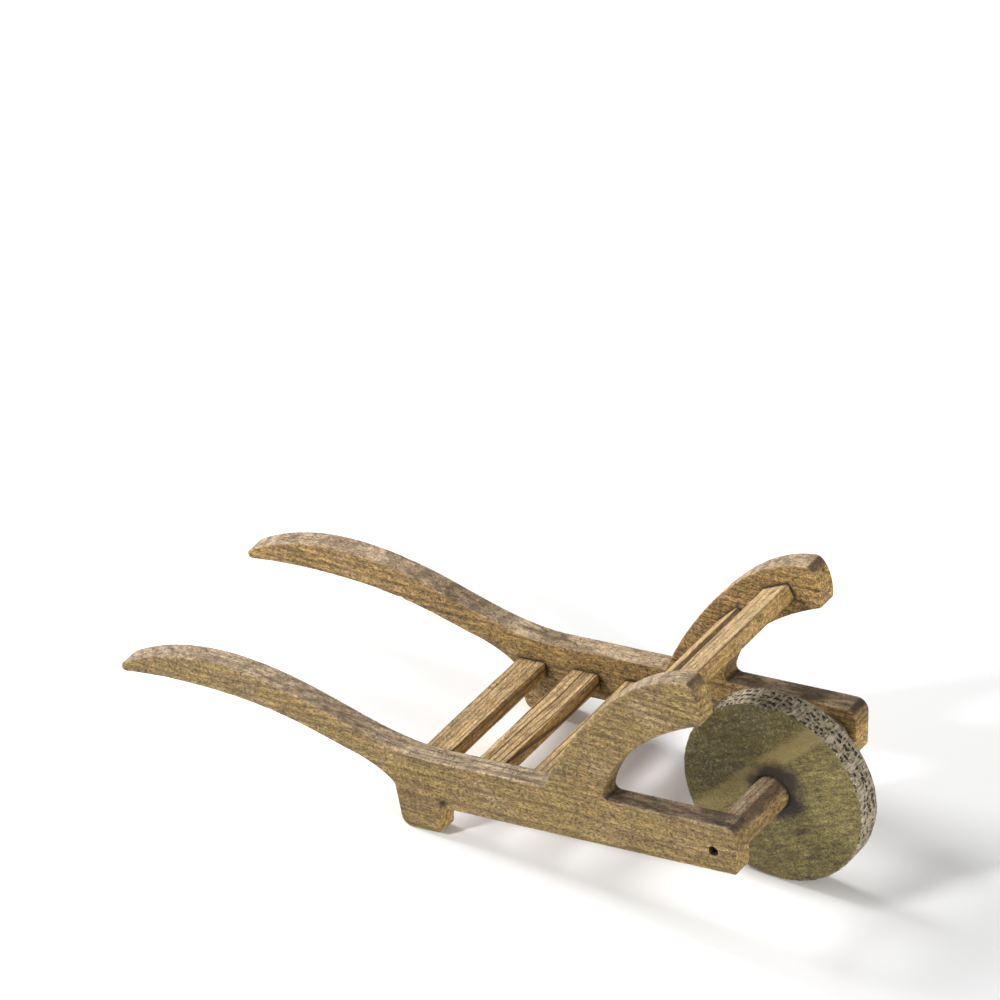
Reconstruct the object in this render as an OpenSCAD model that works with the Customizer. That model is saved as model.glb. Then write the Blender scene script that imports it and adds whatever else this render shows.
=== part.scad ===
// Small wooden wheelbarrow: two sawn side planks joined by deck and headboard
// slats, with a solid wooden wheel turning between the front ends of the planks.
// +X is forward, +Y is the left side and +Z is up. It stands on z = 0 and the
// origin is under the middle of its length.

/* [Side planks] */
// Overall width across the outer faces of the planks
overall_w = 188; // [150:1:240]
// Thickness of each side plank
plank_t = 19; // [16:0.5:24]
// Depth of the straight rail, square to its edges
rail_depth = 39; // [34:0.5:48]
// How steeply the rails rise towards the wheel, in degrees
rail_rise = 7.8; // [5:0.1:10]
// Distance from the front end of the rail back to the lower end of the handle
rail_length = 282; // [270:1:345]
// Radius of the rail's top front corner
rail_nose_r = 9; // [4:0.5:12]

/* [Handles] */
// Length of the handle, from its lower end at the leg to its tip
handle_length = 233; // [180:1:290]
// Height of the top of the hump over the lower end of the handle
handle_hump = 50; // [44:0.5:56]
// Depth of the handle at its hump
handle_depth = 24; // [20:0.5:30]
// Height of the tip over the lower end of the handle
handle_tip_h = 17.5; // [12:0.5:24]
// Radius of the tip
handle_tip_r = 4; // [3:0.5:6]

/* [Legs] */
// Width of the leg along the ground
leg_w = 33.5; // [28:0.5:40]
// Height of the leg's rear edge, where the handle starts
leg_h = 33; // [28:0.5:42]
// Rake of the leg's rear edge, in degrees from plumb
leg_rake = 12.5; // [5:0.5:20]
// Radius of the heel
heel_r = 9; // [5:0.5:12]
// Width of the saw notch where the leg meets the rail
notch_w = 4.5; // [2:0.5:7]
// Height of the saw notch above the rail's lower edge
notch_h = 5.5; // [2:0.5:8]

/* [Horns] */
// Distance from the front end of the rail back to the root of the horn
horn_root = 158; // [148:1:190]
// How far the horn reaches forward from its root
horn_reach = 117; // [100:1:140]
// How far the horn rises above its root
horn_height = 131; // [112:1:157]
// Depth of the horn's front end
horn_end_depth = 34; // [28:0.5:40]
// Lean of the horn's front end, in degrees from plumb
horn_end_lean = 17; // [5:0.5:25]
// How far the front end bows outwards
horn_end_bow = 3.3; // [0:0.1:5]
// Width of the horn along the top of the rail
horn_root_w = 49; // [40:0.5:56]
// Radius of the drilled inner corner between horn and rail
window_r = 4.5; // [3:0.5:6]

/* [Slats] */
// Width of a slat
slat_w = 23; // [18:0.5:28]
// Thickness of a slat
slat_t = 12; // [10:0.5:15]
// Distance between the middles of two deck slats
deck_pitch = 45.5; // [36:0.5:46]
// Distance from the lower end of the handle forward to the back of the first deck slat
deck_start = -1; // [-1:0.5:6]
// How far the deck slats lie below the top edge of the rails
deck_recess = 16.5; // [12:0.5:18]
// Places of the two headboard slats along the horn, from 0 at its root to 1 at its end
headboard_places = [0.5, 0.8]; // [0.4:0.01:0.85]
// How far the headboard slats lie inside the horn's rear edge
headboard_recess = 13.5; // [10:0.5:16]
// How much flatter than the horn's edge the headboard slats lie, in degrees
headboard_lean = 4; // [0:0.5:12]

/* [Dowels] */
// Diameter of the dowels in the ends of the slats
dowel_d = 6; // [4:0.5:8]
// How far a dowel goes into a plank
dowel_in_plank = 10; // [6:0.5:13]
// How far a dowel goes into a slat
dowel_in_slat = 14; // [8:0.5:25]
// Distance between the two dowels in one end of a slat
dowel_spacing = 11; // [8:0.5:14]
// Spare depth at the end of a dowel hole
dowel_end_gap = 0.5; // [0.5:0.1:1]

/* [Wheel and axle] */
// Diameter of the wheel
wheel_d = 146; // [115:1:176]
// Thickness of the wheel
wheel_t = 23; // [18:0.5:30]
// Rounding of the wheel's two rims
wheel_rim_r = 1.5; // [0.5:0.1:3]
// Diameter of the axle
axle_d = 27; // [20:0.5:31]
// Distance from the front end of the rails back to the axle
axle_setback = 19; // [16:0.5:30]
// Height of the axle above the lower edge of the rails, square to that edge
axle_height = 16.5; // [15:0.5:22]
// Gap between each end of the axle and the plank beside it
axle_end_gap = 0.5; // [0.3:0.1:1.5]
// Diameter of the screws that the axle turns on
screw_d = 4; // [3:0.5:5]
// Length of the screws under the head
screw_length = 38; // [30:1:50]
// Diameter of the screw heads
screw_head_d = 7; // [6:0.5:8]
// Thickness of the screw heads
screw_head_t = 2.6; // [2:0.1:3.2]
// Depth of the recess that hides each screw head
recess_depth = 9; // [6:0.5:11]
// Radial gap between a screw and its hole in the plank
screw_clearance = 0.08; // [0.05:0.01:0.1]
// Radial gap between a screw head and its recess
head_clearance = 0.4; // [0.3:0.1:0.8]

/* [Hidden] */

$fn = 64;
curve_steps = 16;
corner_steps = 5;
deck_slats = 3;
inner_w = overall_w - 2 * plank_t;
wheel_r = wheel_d / 2;
axle_x = -axle_setback;

// Colours of weathered pine
plank_colour = [0.55, 0.45, 0.29];
slat_colour = [0.62, 0.50, 0.38];
wheel_colour = [0.43, 0.41, 0.30];
axle_colour = [0.56, 0.44, 0.33];
dowel_colour = [0.80, 0.68, 0.48];
screw_colour = [0.45, 0.44, 0.42];

// Straight rail: heights of its lower and upper edges at any x, with x = 0 at its front end
function rail_bottom(x) = wheel_r - axle_height / cos(rail_rise) + (x - axle_x) * tan(rail_rise);
function rail_top(x) = rail_bottom(x) + rail_depth / cos(rail_rise);

// Curve helpers
function bezier_point(p, t) =
    pow(1 - t, 3) * p[0] + 3 * pow(1 - t, 2) * t * p[1] + 3 * (1 - t) * t * t * p[2] + pow(t, 3) * p[3];
function bezier_slope(p, t) =
    pow(1 - t, 2) * (p[1] - p[0]) + 2 * (1 - t) * t * (p[2] - p[1]) + t * t * (p[3] - p[2]);
function arc(centre, r, start, end, steps) =
    [for (i = [0:steps]) let(a = start + (end - start) * i / steps) centre + r * [cos(a), sin(a)]];
function lean(p) = atan2(p[1], p[0]);

// Leg: the heel stands on the ground, and the sole is parallel to the rail
heel_centre = [-rail_length + heel_r + (leg_h - heel_r) * tan(leg_rake) + heel_r * (1 / cos(leg_rake) - 1), heel_r];
heel_back = heel_centre + heel_r * [cos(180 + leg_rake), sin(180 + leg_rake)];
heel_sole = heel_centre + heel_r * [sin(rail_rise), -cos(rail_rise)];
leg_front_x = heel_back[0] + leg_w;
leg_toe = [leg_front_x, heel_sole[1] + (leg_front_x - heel_sole[0]) * tan(rail_rise)];
handle_root = [heel_back[0] - (leg_h - heel_back[1]) * tan(leg_rake), leg_h];

// Handle: the lower edge from root to tip, then the tip, then the upper edge back to the rail
tip_x = handle_root[0] - handle_length;
tip_centre = [tip_x + handle_tip_r, handle_root[1] + handle_tip_h];
tip_under = tip_centre + handle_tip_r * [cos(262), sin(262)];
tip_over = tip_centre + handle_tip_r * [cos(125), sin(125)];
hump_top = [handle_root[0] - 0.57 * handle_length, handle_root[1] + handle_hump];
hump_under = [handle_root[0] - 0.51 * handle_length, hump_top[1] - handle_depth];
throat_under = [handle_root[0] - 0.127 * handle_length, handle_root[1] + 13.5];
deck_rear_x = handle_root[0] + 27;
handle_under_root = [handle_root, handle_root + [-6, 6], throat_under + [12, -3], throat_under];
handle_under_rear = [throat_under, throat_under - [24, -3.5], hump_under + [40, -0.9], hump_under];
handle_under_tip = [hump_under, hump_under - [40, -0.9], tip_under + [29, 7.5], tip_under];
handle_over_tip = [tip_over, tip_over + [23, 17], hump_top - [40, 0], hump_top];
handle_over_rear = [hump_top, hump_top + [65, 0], [deck_rear_x - 55, rail_top(deck_rear_x) - 4],
                    [deck_rear_x, rail_top(deck_rear_x)]];

// Horn: its rear edge, its bowed front end and its hollow front edge
horn_foot = [-horn_root, rail_top(-horn_root)];
horn_tip = horn_foot + [horn_reach, horn_height];
horn_chin = horn_tip + horn_end_depth * [sin(horn_end_lean), -cos(horn_end_lean)];
horn_rear = [horn_foot, horn_foot + [0.12 * horn_reach, 0.31 * horn_height],
             horn_foot + [0.48 * horn_reach, 0.905 * horn_height], horn_tip];
horn_tip_r = 5;
horn_tip_start = horn_tip - horn_tip_r * [cos(lean(horn_rear[3] - horn_rear[2])),
                                          sin(lean(horn_rear[3] - horn_rear[2]))];
horn_rear_edge = [horn_rear[0], horn_rear[1], horn_rear[2], horn_tip_start];
bow = 4 / 3 * horn_end_bow * [cos(horn_end_lean), sin(horn_end_lean)];
horn_end = [horn_tip_start, horn_tip + 0.5 * bow, horn_tip + 0.5 * (horn_chin - horn_tip) + 1.4 * bow, horn_chin];
window_x = -horn_root + horn_root_w + window_r;
window_centre = [window_x, rail_top(window_x) + window_r / cos(rail_rise)];
window_start = window_centre + window_r * [cos(172), sin(172)];
horn_front = [horn_chin, horn_chin - [0.40 * horn_reach, 0.175 * horn_height],
              window_start + [0.05 * horn_reach, 0.22 * horn_height], window_start];

// Rail nose
nose_centre = [-rail_nose_r, rail_top(-rail_nose_r) - rail_nose_r / cos(rail_rise)];

// Outline of a side plank, seen from the right, going round against the clock
plank_outline = concat(
    [[0, rail_bottom(0)]],
    arc(nose_centre, rail_nose_r, 0, 90 + rail_rise, corner_steps),
    arc(window_centre, window_r, rail_rise - 90, -188, 2 * corner_steps),
    [for (i = [1:curve_steps - 1]) bezier_point(horn_front, 1 - i / curve_steps)],
    [for (i = [0:curve_steps]) bezier_point(horn_end, 1 - i / curve_steps)],
    [for (i = [1:curve_steps]) bezier_point(horn_rear_edge, 1 - i / curve_steps)],
    [for (i = [0:curve_steps]) bezier_point(handle_over_rear, 1 - i / curve_steps)],
    [for (i = [1:curve_steps]) bezier_point(handle_over_tip, 1 - i / curve_steps)],
    arc(tip_centre, handle_tip_r, 135, 252, corner_steps),
    [for (i = [0:curve_steps - 1]) bezier_point(handle_under_tip, 1 - i / curve_steps)],
    [for (i = [0:curve_steps - 1]) bezier_point(handle_under_rear, 1 - i / curve_steps)],
    [for (i = [0:corner_steps]) bezier_point(handle_under_root, 1 - i / corner_steps)],
    arc(heel_centre, heel_r, 180 + leg_rake, 270 + rail_rise, corner_steps),
    [leg_toe, [leg_toe[0], rail_bottom(leg_toe[0]) + notch_h],
     [leg_toe[0] + notch_w - 1, rail_bottom(leg_toe[0]) + notch_h],
     [leg_toe[0] + notch_w, rail_bottom(leg_toe[0] + notch_w)]]);

// Slats: the middle of each one's top face and its tilt
function deck_middle(i) =
    let(x = -rail_length + deck_start + slat_w / 2 * cos(rail_rise) + i * deck_pitch * cos(rail_rise))
    [x + deck_recess * sin(rail_rise), rail_top(x) - deck_recess * cos(rail_rise)];
function headboard_edge_lean(i) = lean(bezier_slope(horn_rear, headboard_places[i]));
function headboard_middle(i) =
    bezier_point(horn_rear, headboard_places[i])
    + headboard_recess * [sin(headboard_edge_lean(i)), -cos(headboard_edge_lean(i))];
slat_middles = concat([for (i = [0:deck_slats - 1]) deck_middle(i)],
                      [for (i = [0:1]) headboard_middle(i)]);
slat_tilts = concat([for (i = [0:deck_slats - 1]) rail_rise],
                    [for (i = [0:1]) headboard_edge_lean(i) - headboard_lean]);

// The middle of the length, from the handle tips to the front of the wheel
front_x = max(0, wheel_r - axle_setback);
middle_x = (tip_x + front_x) / 2;

module in_place() {
    translate([-middle_x, 0, 0]) children();
}

// Puts its children on slat number i: x along the slat's width, z up out of its top face
module on_slat(i) {
    translate([slat_middles[i][0], 0, slat_middles[i][1]]) rotate([0, -slat_tilts[i], 0]) children();
}

// Cylinders for the two dowels in each end of slat i, reaching the given depths
module dowel_set(i, in_plank, in_slat) {
    on_slat(i)
        for (side = [-1, 1], place = [-1, 1])
            translate([place * dowel_spacing / 2, side * (inner_w / 2 - in_slat), -slat_t / 2])
                rotate([-90 * side, 0, 0]) cylinder(d = dowel_d, h = in_slat + in_plank);
}

module dowel_holes(i) {
    dowel_set(i, dowel_in_plank + dowel_end_gap, dowel_in_slat + dowel_end_gap);
}

module right_plank_solid() {
    difference() {
        translate([0, -inner_w / 2, 0])
            rotate([90, 0, 0]) linear_extrude(plank_t) polygon(plank_outline);
        for (i = [0:len(slat_middles) - 1]) dowel_holes(i);
        translate([axle_x, -inner_w / 2 + 1, wheel_r])
            rotate([90, 0, 0]) cylinder(d = screw_d + 2 * screw_clearance, h = plank_t + 2);
        translate([axle_x, -overall_w / 2 + recess_depth, wheel_r])
            rotate([90, 0, 0]) cylinder(d = screw_head_d + 2 * head_clearance, h = recess_depth + 1);
    }
}

module slat_solid(i) {
    difference() {
        on_slat(i) translate([-slat_w / 2, -inner_w / 2, -slat_t]) cube([slat_w, inner_w, slat_t]);
        dowel_holes(i);
    }
}

// Screw standing on its point, with the underside of its head at z = 0
module screw_solid() {
    slot = [screw_head_d * 0.65, screw_head_d * 0.16, screw_head_t];
    point_h = 1.6 * screw_d;
    difference() {
        rotate_extrude()
            polygon(concat([[0, -screw_length], [screw_d / 2, point_h - screw_length], [screw_d / 2, 0],
                            [screw_head_d / 2, 0], [screw_head_d / 2, 0.6 * screw_head_t]],
                           [[0.8 * screw_head_d / 2, screw_head_t], [0, screw_head_t]]));
        for (turn = [0, 90])
            rotate([0, 0, turn + 20]) translate([0, 0, screw_head_t])
                cube(slot, center = true);
    }
}

module right_screw_solid() {
    translate([axle_x, -overall_w / 2 + recess_depth - axle_end_gap, wheel_r])
        rotate([90, 0, 0]) screw_solid();
}

module right_side_plank() {
    color(plank_colour) in_place() right_plank_solid();
}

module left_side_plank() {
    color(plank_colour) in_place() mirror([0, 1, 0]) right_plank_solid();
}

module deck_slat_rear() {
    color(slat_colour) in_place() slat_solid(0);
}

module deck_slat_middle() {
    color(slat_colour) in_place() slat_solid(1);
}

module deck_slat_front() {
    color(slat_colour) in_place() slat_solid(2);
}

module headboard_slat_lower() {
    color(slat_colour) in_place() slat_solid(deck_slats);
}

module headboard_slat_upper() {
    color(slat_colour) in_place() slat_solid(deck_slats + 1);
}

module deck_dowels_rear() {
    color(dowel_colour) in_place() dowel_set(0, dowel_in_plank, dowel_in_slat);
}

module deck_dowels_middle() {
    color(dowel_colour) in_place() dowel_set(1, dowel_in_plank, dowel_in_slat);
}

module deck_dowels_front() {
    color(dowel_colour) in_place() dowel_set(2, dowel_in_plank, dowel_in_slat);
}

module headboard_dowels_lower() {
    color(dowel_colour) in_place() dowel_set(deck_slats, dowel_in_plank, dowel_in_slat);
}

module headboard_dowels_upper() {
    color(dowel_colour) in_place() dowel_set(deck_slats + 1, dowel_in_plank, dowel_in_slat);
}

module wheel() {
    rim = concat(arc([wheel_r - wheel_rim_r, wheel_t / 2 - wheel_rim_r], wheel_rim_r, 0, 90, corner_steps),
                 [[axle_d / 2, wheel_t / 2], [axle_d / 2, -wheel_t / 2]],
                 arc([wheel_r - wheel_rim_r, wheel_rim_r - wheel_t / 2], wheel_rim_r, -90, 0, corner_steps));
    color(wheel_colour) in_place() translate([axle_x, 0, wheel_r])
        rotate([90, 0, 0]) rotate_extrude($fn = 128) polygon(rim);
}

module axle() {
    axle_length = inner_w - 2 * axle_end_gap;
    pilot_depth = screw_length - (plank_t - recess_depth);
    color(axle_colour) in_place() translate([axle_x, 0, wheel_r])
        rotate([90, 0, 0]) difference() {
            cylinder(d = axle_d, h = axle_length, center = true);
            for (end = [0, 180])
                rotate([end, 0, 0]) translate([0, 0, axle_length / 2 - pilot_depth])
                    cylinder(d = screw_d, h = pilot_depth + 1);
        }
}

module axle_screw_right() {
    color(screw_colour) in_place() right_screw_solid();
}

module axle_screw_left() {
    color(screw_colour) in_place() mirror([0, 1, 0]) right_screw_solid();
}

right_side_plank();
left_side_plank();
deck_slat_rear();
deck_slat_middle();
deck_slat_front();
headboard_slat_lower();
headboard_slat_upper();
deck_dowels_rear();
deck_dowels_middle();
deck_dowels_front();
headboard_dowels_lower();
headboard_dowels_upper();
wheel();
axle();
axle_screw_right();
axle_screw_left();
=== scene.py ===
"""Small wooden wheelbarrow: worn sawn planks, grained slats and a turning wooden wheel,
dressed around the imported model."""
import math

import bmesh
import bpy
import numpy as np
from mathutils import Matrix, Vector, noise
from mathutils.bvhtree import BVHTree


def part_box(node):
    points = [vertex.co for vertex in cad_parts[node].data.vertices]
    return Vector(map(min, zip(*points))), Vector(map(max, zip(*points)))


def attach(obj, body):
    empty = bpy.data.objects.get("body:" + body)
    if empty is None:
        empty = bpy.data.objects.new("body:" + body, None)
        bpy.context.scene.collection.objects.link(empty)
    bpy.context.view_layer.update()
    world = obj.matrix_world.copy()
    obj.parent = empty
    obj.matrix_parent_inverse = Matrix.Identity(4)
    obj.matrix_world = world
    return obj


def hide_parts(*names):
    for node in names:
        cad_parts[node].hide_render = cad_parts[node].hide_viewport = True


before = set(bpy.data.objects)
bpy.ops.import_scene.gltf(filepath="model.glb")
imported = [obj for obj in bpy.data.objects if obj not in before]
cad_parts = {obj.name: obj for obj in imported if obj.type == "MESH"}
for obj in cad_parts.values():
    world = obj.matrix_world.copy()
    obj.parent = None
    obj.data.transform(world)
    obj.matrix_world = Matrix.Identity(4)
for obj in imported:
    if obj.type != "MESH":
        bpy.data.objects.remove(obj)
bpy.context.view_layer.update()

MM = 0.001
RAIL_RISE = math.radians(7.8)

# Places on the side planks, the same on both, in the frame's own X and Z
NOTCH_X, NOTCH_Z = -10.5 * MM, 29 * MM
# Where the painted shade in the saw notches is centred
NOTCH_SHADE_Z = 30.5 * MM
WINDOW_X, WINDOW_Z = (112 * MM, 238 * MM), (78 * MM, 150 * MM)
SCREW_HOLE_RADIUS = 4.4 * MM
JUST_INSIDE_OUTER_FACE = 92.9 * MM
# The nick in the underside of the left handle
NICK_X, NICK_Y = -151 * MM, 78 * MM

WHITE = (1, 1, 1, 1)


# ---------------------------------------------------------------- shader maths

class Value:
    """One socket of a node tree, with sums and products written as Python expressions."""

    def __init__(self, tree, socket):
        self.tree, self.socket = tree, socket

    def _math(self, operation, *others, clamp=False):
        node = self.tree.nodes.new("ShaderNodeMath")
        node.operation, node.use_clamp = operation, clamp
        for slot, other in zip(node.inputs, (self, *others)):
            plug(self.tree, slot, other)
        return Value(self.tree, node.outputs[0])

    def __add__(self, other):
        return self._math("ADD", other)

    __radd__ = __add__

    def __sub__(self, other):
        return self._math("SUBTRACT", other)

    def __rsub__(self, other):
        return (self * -1.0)._math("ADD", other)

    def __mul__(self, other):
        return self._math("MULTIPLY", other)

    __rmul__ = __mul__

    def __truediv__(self, other):
        return self._math("DIVIDE", other)

    def fract(self):
        return self._math("FRACT")

    def floor(self):
        return self._math("FLOOR")

    def distance(self):
        return self._math("ABSOLUTE")

    def sqrt(self):
        return self._math("SQRT")

    def clamped(self):
        return self._math("ADD", 0.0, clamp=True)

    def most(self, other):
        return self._math("MAXIMUM", other)

    def ramp(self, low, high):
        """0 below low, 1 above high, and a smooth step between them."""
        node = self.tree.nodes.new("ShaderNodeMapRange")
        node.interpolation_type = "SMOOTHSTEP"
        for name, value in (("Value", self), ("From Min", low), ("From Max", high)):
            plug(self.tree, node.inputs[name], value)
        return Value(self.tree, node.outputs[0])


def plug(tree, socket, value):
    """Links a Value to a socket, or sets a plain number, colour or vector on it."""
    if isinstance(value, Value):
        tree.links.new(value.socket, socket)
    elif hasattr(value, "__len__") and len(value) == 3 and len(socket.default_value) == 4:
        socket.default_value = (*value, 1.0)
    else:
        socket.default_value = value


class Finish:
    """A material under construction: its node tree and the few shader parts that a finish needs."""

    def __init__(self, name):
        self.material = bpy.data.materials.new(name)
        self.material.use_nodes = True
        self.tree = self.material.node_tree
        self.shader = self.tree.nodes["Principled BSDF"]

    def node(self, kind, output=0, settings=None, **inputs):
        """A node of any kind. settings are its own properties. The other arguments are its
        sockets: their names with underscores for spaces, or i0, i1 by place."""
        made = self.tree.nodes.new(kind)
        for key, value in (settings or {}).items():
            setattr(made, key, value)
        for key, value in inputs.items():
            by_place = key[0] == "i" and key[1:].isdigit()
            plug(self.tree, made.inputs[int(key[1:]) if by_place else key.replace("_", " ")], value)
        return Value(self.tree, made.outputs[output])

    def coordinates(self):
        return self.node("ShaderNodeTexCoord", "Object")

    def placed(self, where, location=(0, 0, 0), rotation=(0, 0, 0), scale=(1, 1, 1)):
        return self.node("ShaderNodeMapping", Vector=where, Location=location, Rotation=rotation,
                         Scale=scale)

    def noise(self, where, scale, detail=3.0, roughness=0.55):
        return self.node("ShaderNodeTexNoise", "Fac", Vector=where, Scale=scale, Detail=detail,
                         Roughness=roughness)

    def attribute(self, name):
        return self.node("ShaderNodeAttribute", "Fac", {"attribute_name": name})

    def parts(self, vector):
        made = self.tree.nodes.new("ShaderNodeSeparateXYZ")
        plug(self.tree, made.inputs[0], vector)
        return [Value(self.tree, out) for out in made.outputs]

    def vector(self, x, y, z):
        return self.node("ShaderNodeCombineXYZ", X=x, Y=y, Z=z)

    def mixed(self, amount, first, second):
        """Colour first turning into colour second as amount goes from 0 to 1."""
        made = self.tree.nodes.new("ShaderNodeMix")
        made.data_type, made.blend_type, made.clamp_factor = "RGBA", "MIX", True
        factor, first_colour, second_colour = (made.inputs[place] for place in (0, 6, 7))
        plug(self.tree, factor, amount)
        plug(self.tree, first_colour, first)
        plug(self.tree, second_colour, second)
        colour_result = made.outputs[2]
        return Value(self.tree, colour_result)

    def shaded(self, colour, tone):
        """Colour made lighter or darker: tone 1 leaves it as it is."""
        return self.node("ShaderNodeVectorMath", "Vector", {"operation": "SCALE"}, i0=colour,
                         Scale=tone)

    def finish(self, colour, roughness, height, depth):
        """Feeds the shader: colour, roughness, and a relief of the given depth in metres."""
        plug(self.tree, self.shader.inputs["Base Color"], colour)
        plug(self.tree, self.shader.inputs["Roughness"], roughness)
        bump = self.tree.nodes.new("ShaderNodeBump")
        bump.inputs["Strength"].default_value = 1.0
        bump.inputs["Distance"].default_value = depth
        plug(self.tree, bump.inputs["Height"], height)
        self.tree.links.new(bump.outputs[0], self.shader.inputs["Normal"])
        return self.material


# ---------------------------------------------------------------- wood

# Colour of the painted shade on faces that look forward and upward
PAINTED_SHADE_BROWN = (0.080, 0.045, 0.021)
GRAIN_RELIEF = 0.8 * MM
STEEL_RELIEF = 0.1 * MM


def wood(name, along, pith, ring, pale, dark, grey, olive, contrast=1.0, fleck=1.0, weather=1.0,
         straight=1.0, line=(0.45, 0.85), end_lift=1.7, extra=None):
    """Weathered wood. The grain runs along the X axis as turned by the Euler angles in along,
    pith is a shift that puts the tree's middle off the piece, ring the width of a year ring in
    metres, line the share of a ring where its dark line starts and is full. contrast is how
    strong those lines are, fleck the dark dots, weather the greying. straight below 1 makes the
    grain less drawn out, end_lift is how much paler than pale the sawn ends are, and extra may
    repaint the colour and the height before they reach the shader."""
    f = Finish(name)
    plain = f.coordinates()
    here = f.placed(plain, location=pith, rotation=along)

    def drawn(stretch, shift=(0, 0, 0)):
        return f.placed(here, location=shift, scale=(stretch ** straight, 1, 1))

    wobble = f.noise(drawn(0.16), 26.0, 2.0)
    drift = f.noise(drawn(0.2, (3.1, 1.7, 0.4)), 9.0, 1.0)
    x, y, z = f.parts(here)
    distance = (y * y + z * z).sqrt() + (wobble - 0.5) * (ring * 2.4) + (drift - 0.5) * (ring * 7.0)
    count = distance / ring
    year = count.fract()
    late = year.ramp(*line) * (1.0 - year.ramp(0.92, 1.0))
    by_year = f.noise(f.vector(count.floor() * 0.37, 0.0, 0.0), 3.0, 0.0)
    strength = by_year.ramp(0.3, 0.6) * 0.5 + 0.5

    fibre = f.noise(drawn(0.05), 1100.0, 3.0, 0.65)
    strand = f.noise(drawn(0.07, (0.7, 0, 0)), 420.0, 3.0, 0.6)
    streak = f.noise(drawn(0.10, (0, 0.6, 0.2)), 190.0, 3.0, 0.6).ramp(0.54, 0.68)
    vein = f.noise(drawn(0.03, (0.4, 0.2, 0.7)), 210.0, 2.0, 0.5).ramp(0.60, 0.68)
    pore = f.noise(drawn(0.16, (0, 0.3, 0.9)), 1500.0, 1.0, 0.5).ramp(0.56, 0.68)
    speck = f.noise(drawn(0.5, (0.2, 0.5, 0.1)), 620.0, 3.0, 0.65).ramp(0.50, 0.64)
    mottle = f.noise(drawn(0.55, (0.9, 0.5, 0.1)), 240.0, 4.0, 0.7)
    grit = f.noise(drawn(0.6, (0.1, 0.8, 0.5)), 900.0, 2.0, 0.7)
    blotch = f.noise(here, 26.0, 4.0, 0.65)
    stain = f.noise(drawn(0.5, (1.3, 2.2, 0.8)), 48.0, 3.0, 0.6)
    swirl = f.node("ShaderNodeTexNoise", "Color", Vector=here, Scale=90.0, Detail=3.0)
    bent = f.node("ShaderNodeVectorMath", "Vector", {"operation": "ADD"},
                  i0=drawn(0.16, (0.5, 0.5, 0.5)), i1=f.shaded(swirl, 0.03))
    cell = f.node("ShaderNodeTexVoronoi", "Distance", {"feature": "DISTANCE_TO_EDGE"}, Vector=bent,
                  Scale=44.0)
    crack = (1.0 - cell.ramp(0.0, 0.022)) * f.noise(here, 23.0, 2.0).ramp(0.58, 0.66) * weather

    worn_edge, top, end, lee, grime_and_painted_shade = (
        f.attribute(mark) for mark in ("worn", "top", "end", "lee", "grime_and_painted_shade"))
    deep = [c * 0.45 for c in dark]
    light = [min(1.0, c * 1.3) for c in pale]

    colour = f.mixed(blotch.ramp(0.38, 0.64) * 0.7, pale, olive)
    colour = f.mixed(stain.ramp(0.5, 0.75) * (0.25 * weather), colour, grey)
    colour = f.mixed(top * (0.5 + 0.5 * stain) * weather, colour, grey)
    colour = f.mixed(end * 0.7, colour, [c * end_lift for c in pale])
    # Painted shade on faces that look forward and upward
    colour = f.mixed(lee * (0.72 + 0.3 * strand) * weather, colour, PAINTED_SHADE_BROWN)
    tone = (1.10 + (blotch - 0.5) * 1.3 + (mottle - 0.5) * 2.4 + (strand - 0.5) * 1.5
            + (fibre - 0.5) * 0.8 + (grit - 0.5) * 1.7)
    colour = f.shaded(colour, tone.most(0.25))
    colour = f.mixed(late * strength * contrast, colour, dark)
    colour = f.mixed(streak * 0.5 + vein * 0.45, colour, dark)
    dots = (speck * 0.64 + pore * 0.42).clamped()
    colour = f.mixed(dots * (1.0 - top * 0.4) * fleck, colour, deep)
    colour = f.mixed(crack * 0.55, colour, deep)
    colour = f.mixed(worn_edge * (0.1 + 0.55 * strand), colour, light)
    # Painted shade in hollow corners and where parts touch, with some grime
    colour = f.mixed(grime_and_painted_shade * (0.7 + 0.3 * stain), colour, [c * 0.15 for c in dark])

    height = (fibre * 0.5 + strand * 0.4 + mottle * 0.7 + grit * 0.4
              + late * strength * 0.25 * contrast - pore * 0.5 - speck * 0.5 - crack * 0.8)
    if extra:
        colour, height = extra(f, plain, colour, height)
    roughness = (0.72 + (fibre - 0.5) * 0.3 - worn_edge * 0.12 + grime_and_painted_shade * 0.15).clamped()
    return f.finish(colour, roughness, height, GRAIN_RELIEF)


def screw_steel():
    f = Finish("dulled screw steel with painted shade")
    here = f.coordinates()
    tarnish = f.noise(here, 900.0, 3.0, 0.6)
    smear = f.noise(f.placed(here, scale=(1, 6, 1)), 260.0, 2.0, 0.6)
    rust = tarnish.ramp(0.55, 0.75)
    # The steel is made near black as painted shade for the deep screw holes, with tarnish and rust
    # on it
    colour = f.mixed(smear.ramp(0.3, 0.7), (0.05, 0.046, 0.04), (0.13, 0.12, 0.105))
    colour = f.mixed(rust * 0.7, colour, (0.07, 0.03, 0.014))
    plug(f.tree, f.shader.inputs["Metallic"], 1.0 - rust * 0.8)
    return f.finish(colour, 0.35 + tarnish * 0.35, tarnish + smear * 0.5, STEEL_RELIEF)


# ---------------------------------------------------------------- worn solids

ARRIS_WEAR = 0.22 * MM
# How far from another part the painted shade and grime reach
GRIME_AND_SHADE_REACH = 3.5 * MM


def copy_of(node):
    """A merged copy of a CAD node's mesh in a bmesh."""
    bm = bmesh.new()
    bm.from_mesh(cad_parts[node].data)
    bmesh.ops.remove_doubles(bm, verts=bm.verts, dist=1e-6)
    bmesh.ops.recalc_face_normals(bm, faces=bm.faces)
    return bm


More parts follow.
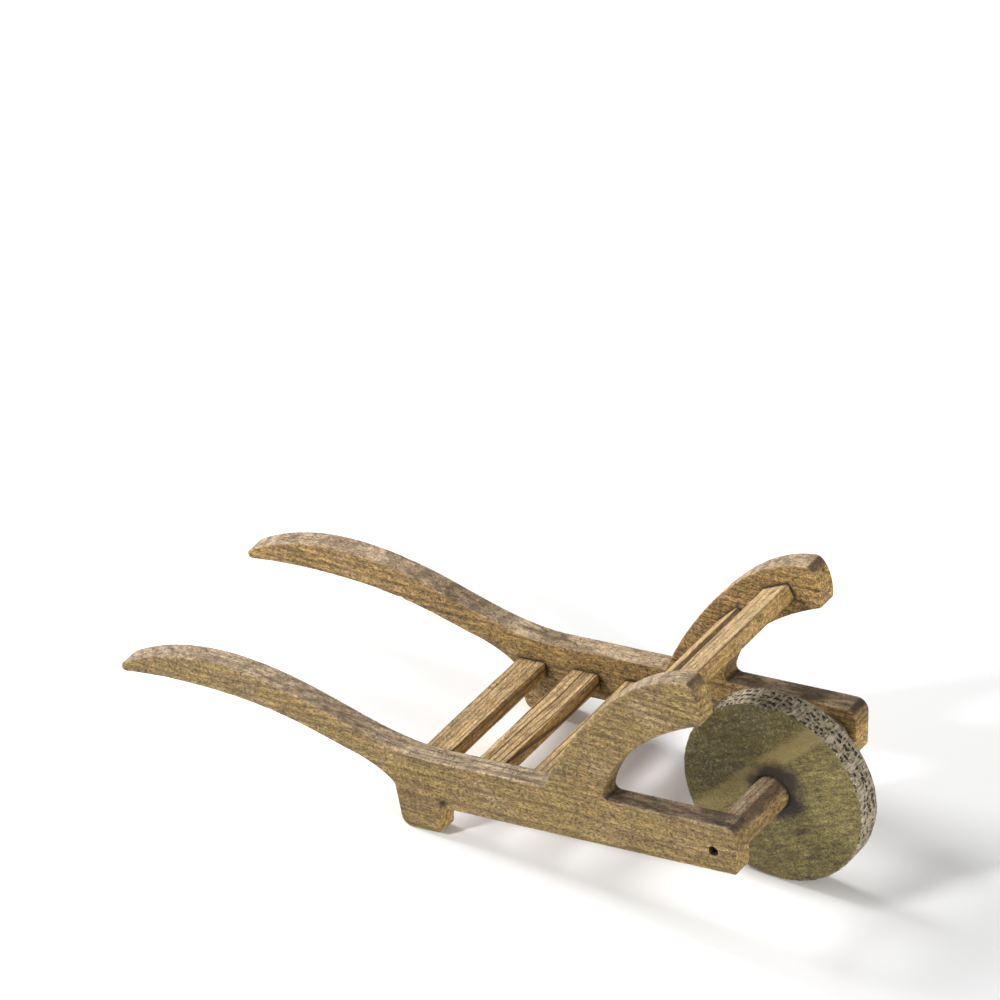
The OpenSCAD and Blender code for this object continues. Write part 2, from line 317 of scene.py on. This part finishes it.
def evaluated(name, mesh, settings):
    """The mesh after one modifier, given as its kind and its settings."""
    carrier = bpy.data.objects.new(name + " rough", mesh)
    bpy.context.scene.collection.objects.link(carrier)
    kind, values = settings
    modifier = carrier.modifiers.new("work", kind)
    for key, value in values.items():
        setattr(modifier, key, value)
    graph = bpy.context.evaluated_depsgraph_get()
    made = bpy.data.meshes.new_from_object(carrier.evaluated_get(graph))
    bpy.data.objects.remove(carrier)
    bpy.data.meshes.remove(mesh)
    return made


def remeshed(name, bm, voxel, smooth_steps, keep, crisp=None):
    """A dense even mesh over a closed bmesh, with its arrises eased by smoothing.
    crisp gives each vertex a share from 0, left sharp, to 1, fully eased."""
    mesh = bpy.data.meshes.new(name + " rough")
    bm.to_mesh(mesh)
    bm.free()
    settings = {"mode": "VOXEL", "voxel_size": voxel, "adaptivity": 0.0}
    mesh = evaluated(name, mesh, ("REMESH", settings))
    co, _ = vertex_arrays(mesh)
    pairs = edge_pairs(mesh)
    share = 0.5 if crisp is None else 0.5 * crisp(co)[:, None]
    for _ in range(smooth_steps):
        co = co + share * (neighbour_mean(co, pairs) - co)
    mesh.vertices.foreach_set("co", co.ravel())
    mesh.update()
    mesh = evaluated(name, mesh, ("DECIMATE", {"ratio": keep}))
    mesh.name = name
    return mesh


def edge_pairs(mesh):
    pairs = np.empty(len(mesh.edges) * 2, dtype=np.int64)
    mesh.edges.foreach_get("vertices", pairs)
    return pairs.reshape(-1, 2)


def save_mark(mesh, name, values):
    made = mesh.attributes.new(name, "FLOAT", "POINT")
    made.data.foreach_set("value", np.clip(values, 0, 1).astype(np.float32))


def vertex_arrays(mesh):
    count = len(mesh.vertices)
    co, no = np.empty(count * 3), np.empty(count * 3)
    mesh.vertices.foreach_get("co", co)
    mesh.vertex_normals.foreach_get("vector", no)
    return co.reshape(-1, 3), no.reshape(-1, 3)


def neighbour_mean(values, pairs):
    count = len(values)
    total, degree = np.zeros(values.shape), np.bincount(pairs.ravel(), minlength=count).clip(1)
    for one, two in ((0, 1), (1, 0)):
        for axis in range(values.shape[1]):
            total[:, axis] += np.bincount(pairs[:, one], values[pairs[:, two], axis], count)
    return total / degree[:, None]


def bend_measure(mesh, co, no):
    """How strongly the surface bends at each vertex: above 0 on arrises, below 0 in corners."""
    pairs = edge_pairs(mesh)
    apart = np.linalg.norm(co[pairs[:, 0]] - co[pairs[:, 1]], axis=1).mean()
    bend = ((co - neighbour_mean(co, pairs)) * no).sum(1)[:, None]
    for _ in range(4):
        bend = (bend + neighbour_mean(bend, pairs)) / 2
    return bend[:, 0] / apart


def closeness(node, co, reach):
    """1 where a vertex touches another CAD node, falling to 0 at the reach."""
    nearest = np.full(len(co), reach)
    low, high = co.min(0) - reach, co.max(0) + reach
    for other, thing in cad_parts.items():
        if other == node or "dowels" in other:
            continue
        box_low, box_high = (np.array(corner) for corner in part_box(other))
        if (box_low > high).any() or (box_high < low).any():
            continue
        tree = BVHTree.FromPolygons([v.co[:] for v in thing.data.vertices],
                                    [tuple(p.vertices) for p in thing.data.polygons])
        near = np.where(((co > box_low - reach) & (co < box_high + reach)).all(1))[0]
        for i in near:
            hit = tree.find_nearest(co[i], reach)
            if hit[0] is not None:
                nearest[i] = min(nearest[i], hit[3])
    return 1 - nearest / reach


def make_piece(name, mesh, material, body, node):
    piece = bpy.data.objects.new(name, mesh)
    bpy.context.scene.collection.objects.link(piece)
    mesh.materials.clear()
    mesh.materials.append(material)
    mesh.polygons.foreach_set("use_smooth", [True] * len(mesh.polygons))
    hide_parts(node)
    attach(piece, body)
    return piece


def worn(node, material, body, grain, voxel, smoothing, keep, shape=None, crisp=None,
         extra_painted_shade=None):
    """A worn wooden piece in a CAD node's place: eased, dented arrises and the marks that its
    finish reads, painted shade among them. voxel is the size of the remesh, smoothing its steps,
    and keep the share of faces kept. shape, crisp and extra_painted_shade take the vertices and
    give what to cut away in metres, how far to ease each one, and how much painted shade it gets."""
    mesh = remeshed(node, copy_of(node), voxel, smoothing, keep, crisp)
    co, no = vertex_arrays(mesh)
    bend = bend_measure(mesh, co, no)
    arris, hollow = np.clip(bend / 0.07, 0, 1), np.clip(-bend / 0.05, 0, 1)
    chew = np.array([noise.fractal(Vector(p) * 32, 0.8, 2.2, 4) for p in co])
    nick = np.array([noise.noise(Vector(p) * 150) for p in co])
    cut = arris * ARRIS_WEAR * np.clip(0.25 + 1.1 * chew + 2.5 * np.clip(nick - 0.45, 0, 1), 0, 2.2)
    cut += 0.05 * MM * (1 + np.array([noise.noise(Vector(p) * 40) for p in co]))
    if shape is not None:
        cut += shape(co, no)
    touching = closeness(node, co, GRIME_AND_SHADE_REACH)
    mesh.vertices.foreach_set("co", (co - no * cut[:, None]).ravel())
    mesh.update()
    along = np.abs(no @ np.array(grain))
    save_mark(mesh, "worn", arris * np.clip(0.5 + 1.2 * chew, 0, 1))
    save_mark(mesh, "top", np.clip((no[:, 2] - 0.35) / 0.4, 0, 1) * (along < 0.9))
    save_mark(mesh, "end", np.clip((along - 0.6) / 0.3, 0, 1))
    # Painted shade on faces that look forward and upward
    forward, upward = np.clip((no[:, 0] - 0.15) / 0.17, 0, 1), np.clip((no[:, 2] - 0.5) / 0.3, 0, 1)
    save_mark(mesh, "lee", forward * upward)
    # Painted shade in hollow corners and where the piece touches another part, with some grime
    grime_and_painted_shade = np.maximum(hollow, touching ** 1.5)
    save_mark(mesh, "grime_and_painted_shade", grime_and_painted_shade if extra_painted_shade is None else np.maximum(grime_and_painted_shade, extra_painted_shade(co, no)))
    return make_piece(node + "_worn", mesh, material, body, node)


# ---------------------------------------------------------------- finishes

ALONG_X, ALONG_Y = (1, 0, 0), (0, 1, 0)
TAN, BROWN = (0.265, 0.174, 0.056), (0.076, 0.042, 0.010)
GREY, OLIVE = (0.40, 0.295, 0.195), (0.145, 0.102, 0.028)
WARM_TAN, WARM_OLIVE = (0.36, 0.218, 0.068), (0.205, 0.130, 0.034)
SLAT_PALE, SLAT_DARK = (0.47, 0.285, 0.082), (0.105, 0.048, 0.013)
SLAT_GREY, SLAT_OLIVE = (0.44, 0.31, 0.15), (0.33, 0.19, 0.052)
TREAD_DARK, TREAD_PALE, TREAD_RIB = (0.12, 0.09, 0.05), (0.64, 0.54, 0.37), (0.52, 0.44, 0.30)
# HUB_SHADE_BLACK is painted shade round the axle
PIT_BLACK, HUB_SHADE_BLACK = (0.022, 0.016, 0.009), (0.018, 0.012, 0.007)
# A painted band of light, the painted shadow beside it on the wheel's faces, and dust
PAINTED_LIGHT_BAND, PAINTED_SHADOW_DARK, DUST = (0.33, 0.255, 0.092), (0.055, 0.044, 0.016), (0.36, 0.31, 0.18)

wheel_middle = (Vector(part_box("wheel")[0]) + Vector(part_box("wheel")[1])) / 2
wheel_radius = (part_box("wheel")[1][2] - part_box("wheel")[0][2]) / 2
ROW_WIDTH = 5.6 * MM
BAND_OFFSET = 18 * MM


def tread_paint(f, plain, colour, height):
    """Pale fibrous end grain on the tread, torn into rows of small dark pits; on the faces a
    painted band of light, painted shadow with dust on one side of it, and painted shade round the
    axle."""
    tread = f.attribute("tread")
    around = f.placed(plain, location=tuple(-wheel_middle))
    x, y, z = f.parts(around)
    cell = f.node("ShaderNodeTexVoronoi", "Distance", {"feature": "F1"}, Vector=around, Scale=300.0)
    torn = f.noise(around, 110.0, 3.0, 0.6).ramp(0.30, 0.48)
    row_place = y / ROW_WIDTH + (f.noise(around, 90.0, 2.0) - 0.5) * 1.6
    row = (row_place.fract() - 0.5).distance().ramp(0.10, 0.40)
    pit_edge = (cell + (f.noise(around, 800.0, 2.0) - 0.5) * 0.7).ramp(0.34, 0.60)
    pits = (1.0 - pit_edge) * torn * (0.3 + 0.7 * row)
    fibres = f.noise(f.placed(around, scale=(1, 0.12, 1)), 900.0, 3.0, 0.7)
    face = f.mixed(fibres.ramp(0.35, 0.65), TREAD_DARK, TREAD_PALE)
    face = f.mixed((1.0 - row) * 0.35, face, TREAD_RIB)
    colour = f.mixed(tread * 0.92, colour, face)
    colour = f.mixed(tread * (pits * 1.3).clamped(), colour, PIT_BLACK)
    # A painted band of light across the wheel's faces, with painted shadow on one side of it
    across = z * 0.68 - x * 0.73 - BAND_OFFSET + (f.noise(around, 45.0, 3.0) - 0.5) * 0.008
    shadow_side = across.ramp(0.004, 0.014) * (1.0 - tread)
    light_band = (1.0 - across.distance().ramp(0.004, 0.010)) * (1.0 - tread)
    colour = f.mixed(light_band * 0.75, colour, PAINTED_LIGHT_BAND)
    colour = f.mixed(shadow_side * 0.35, colour, PAINTED_SHADOW_DARK)
    dust = f.noise(around, 480.0, 2.0, 0.6).ramp(0.56, 0.68) * (0.15 + 0.85 * shadow_side)
    colour = f.mixed(dust * (1.0 - tread) * 0.6, colour, DUST)
    # Painted shade round the axle, reaching further to one side
    from_axle = (x * x + z * z).sqrt() + (f.noise(around, 70.0, 3.0) - 0.5) * 0.02
    hub_shade = 1.0 - (from_axle - x * 0.2 - z * 0.12).ramp(0.0150, 0.028)
    colour = f.mixed(hub_shade * 0.96, colour, HUB_SHADE_BLACK)
    return colour, height + tread * (fibres * 0.8 - pits * 2.2) + (cell * 0.6) * (1.0 - tread)


planks = {
    "right_side_plank": wood("aged plank right", (0, RAIL_RISE * 0.6, 0), (0.1, 0.11, -0.03),
                             5.2 * MM, TAN, BROWN, GREY, OLIVE, contrast=0.5, straight=0.72),
    "left_side_plank": wood("aged plank left", (0.2, RAIL_RISE * 0.6, 0), (0.5, -0.09, 0.05),
                            5.6 * MM, WARM_TAN, BROWN, GREY, WARM_OLIVE, contrast=0.5,
                            straight=0.72),
}
# The turn that lays the grain across the barrow, along Y
ACROSS = (0, 0, math.pi / 2)
slats = {}
for number, (node, ring, contrast) in enumerate((
        ("deck_slat_rear", 3.4, 0.62), ("deck_slat_middle", 4.4, 1.0),
        ("deck_slat_front", 3.8, 0.85),
        ("headboard_slat_lower", 3.2, 0.6), ("headboard_slat_upper", 5.0, 0.45))):
    pith = (0.3 * number, 0.21 + 0.02 * number, -0.06)
    slats[node] = wood("slat " + str(number + 1), ACROSS, pith, ring * MM,
                       SLAT_PALE, SLAT_DARK, SLAT_GREY, SLAT_OLIVE,
                       contrast=contrast, fleck=0.5, line=(0.56, 0.76))
wheel_finish = wood("wheel wood", (0, 0.5, 0), (0.1, 0.05, -0.10), 6.0 * MM,
                    (0.165, 0.130, 0.037), (0.050, 0.038, 0.011), (0.165, 0.135, 0.060),
                    (0.092, 0.074, 0.022), contrast=0.3, fleck=0.8, straight=0.45, end_lift=1.15,
                    extra=tread_paint)
axle_finish = wood("axle wood", ACROSS, (0, 0.05, 0.02), 3.4 * MM, (0.34, 0.22, 0.072),
                   (0.10, 0.055, 0.018), GREY, OLIVE, contrast=0.6)
dowel_finish = wood("dowel wood", ACROSS, (0, 0.05, 0.02), 2.0 * MM, (0.60, 0.44, 0.25),
                    (0.40, 0.26, 0.13), GREY, (0.45, 0.33, 0.18), contrast=0.4, fleck=0.3,
                    weather=0.2)
steel = screw_steel()

screw_place = (Vector(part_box("axle_screw_right")[0]) + Vector(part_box("axle_screw_right")[1])) / 2


def holes_left_sharp(co):
    """Keeps the screw holes and the saw notches crisp while the rest is eased."""
    hole = np.hypot(co[:, 0] - screw_place.x, co[:, 2] - screw_place.z)
    notch = np.hypot(co[:, 0] - NOTCH_X, co[:, 2] - NOTCH_Z)
    return np.clip((np.minimum(hole, notch) - 5 * MM) / (3 * MM), 0.12, 1)


def plank_painted_shade(co, no):
    """Painted shade in the screw holes, in the saw notches, and round the inside of the windows."""
    x, y, z = co.T
    deep_in = np.clip((JUST_INSIDE_OUTER_FACE - np.abs(y)) / (0.8 * MM), 0, 1)
    hole = (np.hypot(x - screw_place.x, z - screw_place.z) < SCREW_HOLE_RADIUS) * deep_in
    notch = np.exp(-(np.hypot(x - NOTCH_X, z - NOTCH_SHADE_Z) / (3.2 * MM)) ** 2) * 1.3
    # Painted shade on the faces inside the windows, under the horns
    in_window = ((x > WINDOW_X[0]) & (x < WINDOW_X[1]) & (z > WINDOW_Z[0]) & (z < WINDOW_Z[1]))
    window = in_window * np.clip(1.25 - 1.6 * np.abs(no[:, 1]), 0, 1)
    rough = np.array([noise.fractal(Vector(p) * 45, 0.8, 2.2, 3) for p in co])
    return np.maximum(np.maximum(hole, notch), window * np.clip(0.42 + 0.35 * rough, 0, 0.7))


def plank_blows(co, no):
    """A nick under the left handle and a few shallow bruises."""
    on_left = np.abs(co[:, 1] - NICK_Y) < 5 * MM
    nick = np.exp(-((co[:, 0] - NICK_X) / (1.5 * MM)) ** 2) * np.clip(-no[:, 2], 0, 1) * on_left
    bruise = np.array([noise.noise(Vector(p) * 55) for p in co])
    return nick * 2.2 * MM + np.clip(bruise - 0.5, 0, 1) * 0.9 * MM


for node, material in planks.items():
    worn(node, material, "frame", ALONG_X, voxel=0.62 * MM, smoothing=14, keep=0.36,
         shape=plank_blows, crisp=holes_left_sharp, extra_painted_shade=plank_painted_shade)
for node, material in slats.items():
    worn(node, material, "frame", ALONG_Y, voxel=0.6 * MM, smoothing=8, keep=0.5)


def tread_share(co, no):
    out = co - np.array(wheel_middle)
    radial = np.hypot(out[:, 0], out[:, 2])
    facing = np.abs(no[:, 0] * out[:, 0] + no[:, 2] * out[:, 2]) / radial
    return np.clip((facing - 0.45) / 0.3, 0, 1) * (radial > 0.9 * wheel_radius)


def torn_tread(co, no):
    rough = np.array([noise.fractal(Vector(p) * 190, 0.7, 2.1, 3) for p in co])
    return tread_share(co, no) * (0.14 + 0.45 * np.clip(rough, -0.3, 1)) * MM


wheel = worn("wheel", wheel_finish, "wheel_set", ALONG_Y, voxel=0.7 * MM, smoothing=8,
             keep=0.6, shape=torn_tread)
save_mark(wheel.data, "tread", tread_share(*vertex_arrays(wheel.data)))
worn("axle", axle_finish, "wheel_set", ALONG_Y, voxel=0.6 * MM, smoothing=5, keep=0.5)
for node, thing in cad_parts.items():
    if "dowels" in node or "screw" in node:
        thing.data.materials.clear()
        thing.data.materials.append(dowel_finish if "dowels" in node else steel)


# ---------------------------------------------------------------- room

FLOOR_HALF_WIDTH = 6.0
LAMPS_AIM = (0, 0, 0.08)
CAMERA_AZIMUTH, CAMERA_ELEVATION = math.radians(31.43), math.radians(34.02)
CAMERA_TARGET, CAMERA_DISTANCE, CAMERA_LENS = (-0.0203, 0, 0.2339), 6.69, 340.6


def floor():
    bm = bmesh.new()
    bmesh.ops.create_grid(bm, x_segments=1, y_segments=1, size=FLOOR_HALF_WIDTH)
    mesh = bpy.data.meshes.new("floor")
    bm.to_mesh(mesh)
    bm.free()
    thing = bpy.data.objects.new("floor", mesh)
    bpy.context.scene.collection.objects.link(thing)
    pale = bpy.data.materials.new("pale floor")
    pale.use_nodes = True
    sockets = pale.node_tree.nodes["Principled BSDF"].inputs
    sockets["Base Color"].default_value = (0.95, 0.95, 0.95, 1)
    sockets["Roughness"].default_value = 0.8
    mesh.materials.append(pale)


def lamp(name, towards, distance, size, power):
    """A round white lamp that faces the barrow, in the direction towards from its middle."""
    data = bpy.data.lights.new(name, "AREA")
    data.shape, data.size, data.energy = "DISK", size, power
    thing = bpy.data.objects.new(name, data)
    direction = Vector(towards).normalized()
    thing.location = Vector(LAMPS_AIM) + direction * distance
    thing.rotation_euler = direction.to_track_quat("Z", "Y").to_euler()
    bpy.context.scene.collection.objects.link(thing)


def camera():
    level = math.cos(CAMERA_ELEVATION)
    back = Vector((math.sin(CAMERA_AZIMUTH) * level, -math.cos(CAMERA_AZIMUTH) * level,
                   math.sin(CAMERA_ELEVATION)))
    data = bpy.data.cameras.new("camera")
    data.sensor_width = 36.0
    data.lens = CAMERA_LENS
    data.clip_end = 100
    thing = bpy.data.objects.new("camera", data)
    thing.location = Vector(CAMERA_TARGET) + back * CAMERA_DISTANCE
    thing.rotation_euler = back.to_track_quat("Z", "Y").to_euler()
    bpy.context.scene.collection.objects.link(thing)
    bpy.context.scene.camera = thing


floor()
lamp("key", towards=(-0.45, -0.75, 0.46), distance=3.0, size=0.45, power=68)
lamp("top", towards=(-1.0, 0.05, 0.66), distance=3.0, size=1.5, power=112)
lamp("fill", towards=(1.0, -0.45, 0.16), distance=4.0, size=2.4, power=140)
camera()
world = bpy.context.scene.world or bpy.data.worlds.new("room")
bpy.context.scene.world = world
world.use_nodes = True
backdrop = world.node_tree.nodes["Background"].inputs
backdrop["Color"].default_value = WHITE
backdrop["Strength"].default_value = 0.30
bpy.context.scene.view_settings.view_transform = "Standard"
